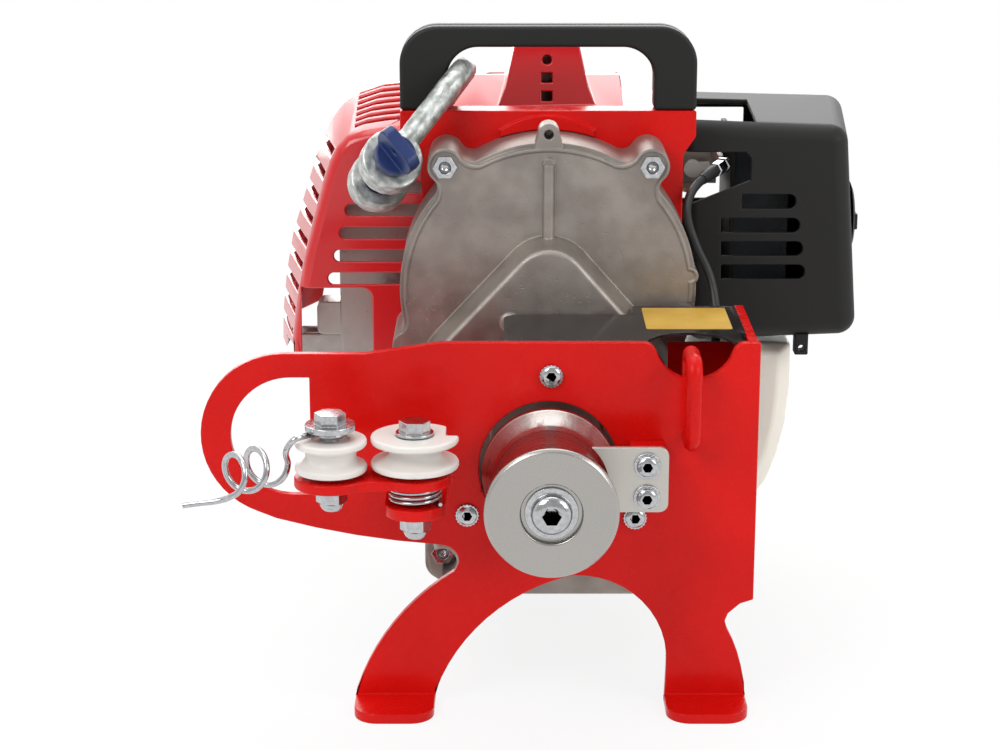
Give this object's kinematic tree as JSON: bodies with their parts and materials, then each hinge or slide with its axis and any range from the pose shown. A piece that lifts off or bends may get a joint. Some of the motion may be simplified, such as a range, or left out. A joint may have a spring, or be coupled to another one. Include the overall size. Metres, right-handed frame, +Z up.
{
  "type": "come along winch",
  "caption": "Engine-driven portable capstan winch: two-stroke motor behind a reduction case and bent steel plate with rope rollers, carrying handle and anchor shackle.",
  "frame": {"origin": "middle of the overall footprint, on the ground", "axes": "+X to the right seen from the capstan side, +Y from the capstan back to the starter, +Z up"},
  "size_m": [0.3488, 0.3638, 0.3268],
  "materials": {
    "red_steel": "glossy red powder coat on sheet steel",
    "red_shell": "glossy red moulded nylon",
    "cast_alloy": "bead-blasted grey die casting",
    "machined_alloy": "turned aluminium",
    "zinc_steel": "galvanised steel",
    "bright_steel": "zinc-plated fastener steel",
    "gear_steel": "oiled gear steel",
    "black_plastic": "textured black nylon",
    "black_sheet": "black painted sheet steel",
    "nylon_white": "white cast nylon",
    "tank_plastic": "milky blow-moulded polyethylene",
    "blue_pin": "blue painted forged steel",
    "cable_jacket": "black cable jacket",
    "foam": "open-cell filter foam",
    "ceramic": "white glazed insulator",
    "rubber_cream": "translucent rubber",
    "red_control": "red moulded control",
    "friction": "sintered friction shoe"
  },
  "bodies": {
    "winch_frame": {"front_plate": "red_steel", "anchor_bar": "red_steel", "pivot_bracket": "red_steel", "plate_screws": "bright_steel", "guard_block": "red_steel", "rope_guard": "zinc_steel", "gear_cover": "cast_alloy", "cover_bolts": "bright_steel", "handle_plate": "red_steel", "handle_front": "black_plastic", "handle_rear": "black_plastic", "top_guard": "black_sheet", "ring_gear": "gear_steel", "case_bearings": "bright_steel", "clutch_housing": "cast_alloy", "crankcase": "cast_alloy", "cylinder": "cast_alloy", "piston": "machined_alloy", "connecting_rod": "gear_steel", "cowl": "red_shell", "muffler": "zinc_steel", "spark_plug": "ceramic", "starter_cover": "red_shell", "carburettor": "cast_alloy", "filter_base": "black_plastic", "filter_element": "foam", "filter_cover": "black_plastic", "fuel_tank": "tank_plastic", "rear_stand": "black_sheet", "throttle_cable": "cable_jacket", "pivot_bolt": "bright_steel", "arm_spring": "zinc_steel"},
    "capstan": {"capstan_drum": "machined_alloy", "drum_bolt": "bright_steel", "output_shaft": "bright_steel", "output_wheel": "gear_steel"},
    "carrier": {"gear_carrier": "gear_steel"},
    "planet_a": {"planet_gear_1": "gear_steel"},
    "planet_b": {"planet_gear_2": "gear_steel"},
    "planet_c": {"planet_gear_3": "gear_steel"},
    "sun_drum": {"clutch_drum": "gear_steel"},
    "crank": {"crankshaft": "gear_steel", "flywheel": "machined_alloy"},
    "shoe_upper": {"clutch_shoe_1": "friction"},
    "shoe_lower": {"clutch_shoe_2": "friction"},
    "starter_reel": {"starter_pulley": "black_plastic"},
    "pull_handle": {"starter_handle": "black_plastic"},
    "guide_roller": {"fixed_roller": "nylon_white"},
    "swing_arm": {"roller_arm": "red_steel", "swing_bolt": "bright_steel", "pigtail_guide": "zinc_steel"},
    "arm_roller": {"swing_roller": "nylon_white"},
    "shackle": {"shackle_bow": "zinc_steel"},
    "shackle_bolt": {"shackle_pin": "blue_pin"},
    "knob": {"filter_knob": "black_plastic"},
    "cap": {"fuel_cap": "black_plastic"},
    "choke": {"choke_lever": "red_control"},
    "primer": {"primer_bulb": "rubber_cream"},
    "throttle": {"throttle_lever": "zinc_steel"},
    "kill_switch": {"stop_switch": "red_control"}
  },
  "joints": [
    {"name": "drum_spin", "type": "hinge", "parent": "winch_frame", "child": "capstan", "pos_m": [0, -0.147, 0.125], "axis": [0, 1, 0], "continuous": true},
    {"name": "carrier_spin", "type": "hinge", "parent": "winch_frame", "child": "carrier", "pos_m": [0, -0.012, 0.195], "axis": [0, 1, 0], "continuous": true},
    {"name": "planet_a_spin", "type": "hinge", "parent": "carrier", "child": "planet_a", "pos_m": [0, -0.002, 0.222], "axis": [0, 1, 0], "continuous": true},
    {"name": "planet_b_spin", "type": "hinge", "parent": "carrier", "child": "planet_b", "pos_m": [-0.02338, -0.002, 0.1815], "axis": [0, 1, 0], "continuous": true},
    {"name": "planet_c_spin", "type": "hinge", "parent": "carrier", "child": "planet_c", "pos_m": [0.02338, -0.002, 0.1815], "axis": [0, 1, 0], "continuous": true},
    {"name": "clutch_drum_spin", "type": "hinge", "parent": "winch_frame", "child": "sun_drum", "pos_m": [0, 0.03, 0.195], "axis": [0, 1, 0], "continuous": true},
    {"name": "crank_spin", "type": "hinge", "parent": "winch_frame", "child": "crank", "pos_m": [0, 0.109, 0.195], "axis": [0, 1, 0], "continuous": true},
    {"name": "upper_shoe_slide", "type": "slide", "parent": "crank", "child": "shoe_upper", "axis": [0, 0, 1], "range_m": [0, 0.0015], "stiffness_N_per_m": 2500, "springref_m": -0.002},
    {"name": "lower_shoe_slide", "type": "slide", "parent": "crank", "child": "shoe_lower", "axis": [0, 0, -1], "range_m": [0, 0.0015], "stiffness_N_per_m": 2500, "springref_m": -0.002},
    {"name": "starter_pull", "type": "slide", "parent": "winch_frame", "child": "pull_handle", "axis": [0, 0, 1], "range_m": [0, 0.45]},
    {"name": "starter_reel_spin", "type": "hinge", "parent": "winch_frame", "child": "starter_reel", "pos_m": [0, 0.157, 0.195], "axis": [0, 1, 0], "range_deg": [-5, 1000]},
    {"name": "guide_roller_spin", "type": "hinge", "parent": "winch_frame", "child": "guide_roller", "pos_m": [-0.0642, -0.155, 0.147], "axis": [0, 0, 1], "continuous": true},
    {"name": "arm_swing", "type": "hinge", "parent": "winch_frame", "child": "swing_arm", "pos_m": [-0.0642, -0.155, 0.131], "axis": [0, 0, 1], "range_deg": [0, 30], "stiffness_Nm_per_rad": 1.2, "springref_deg": -28.65, "deforming": ["arm_spring"]},
    {"name": "arm_roller_spin", "type": "hinge", "parent": "swing_arm", "child": "arm_roller", "pos_m": [-0.1035, -0.16, 0.148], "axis": [0, 0, 1], "continuous": true},
    {"name": "throttle_turn", "type": "hinge", "parent": "winch_frame", "child": "throttle", "pos_m": [0.084, 0.085, 0.24], "axis": [0, 1, 0], "range_deg": [0, 62]},
    {"name": "shackle_swing", "type": "hinge", "parent": "winch_frame", "child": "shackle", "pos_m": [-0.044, 0.03711, 0.297], "axis": [0.5649, 0.8192, 0.0996], "range_deg": [0, 45]},
    {"name": "shackle_pin_slide", "type": "slide", "parent": "shackle", "child": "shackle_bolt", "axis": [0.2349, -0.8599, 0.4531], "range_m": [0, 0.045]},
    {"name": "knob_turn", "type": "hinge", "parent": "winch_frame", "child": "knob", "pos_m": [0.17, 0.09, 0.211], "axis": [1, 0, 0], "continuous": true},
    {"name": "fuel_cap_turn", "type": "hinge", "parent": "winch_frame", "child": "cap", "pos_m": [0.118, 0.152, 0.11], "axis": [0, 1, 0], "continuous": true},
    {"name": "choke_turn", "type": "hinge", "parent": "winch_frame", "child": "choke", "pos_m": [0.09, 0.104, 0.269], "axis": [0, 0, 1], "range_deg": [0, 60]},
    {"name": "primer_press", "type": "slide", "parent": "winch_frame", "child": "primer", "axis": [0, 0, 1], "range_m": [0, 0.003], "stiffness_N_per_m": 600, "springref_m": -0.001},
    {"name": "stop_switch_slide", "type": "slide", "parent": "winch_frame", "child": "kill_switch", "axis": [1, 0, 0], "range_m": [0, 0.008]}
  ],
  "couplings": [
    {"joint": "carrier_spin", "follows": "drum_spin", "ratio": -7},
    {"joint": "planet_a_spin", "follows": "drum_spin", "ratio": 16},
    {"joint": "planet_b_spin", "follows": "drum_spin", "ratio": 16},
    {"joint": "planet_c_spin", "follows": "drum_spin", "ratio": 16},
    {"joint": "clutch_drum_spin", "follows": "drum_spin", "ratio": -63},
    {"joint": "starter_reel_spin", "follows": "starter_pull", "rad_per_m": 38.46},
    {"joint": "throttle_turn", "follows": "arm_swing", "ratio": 2}
  ]
}
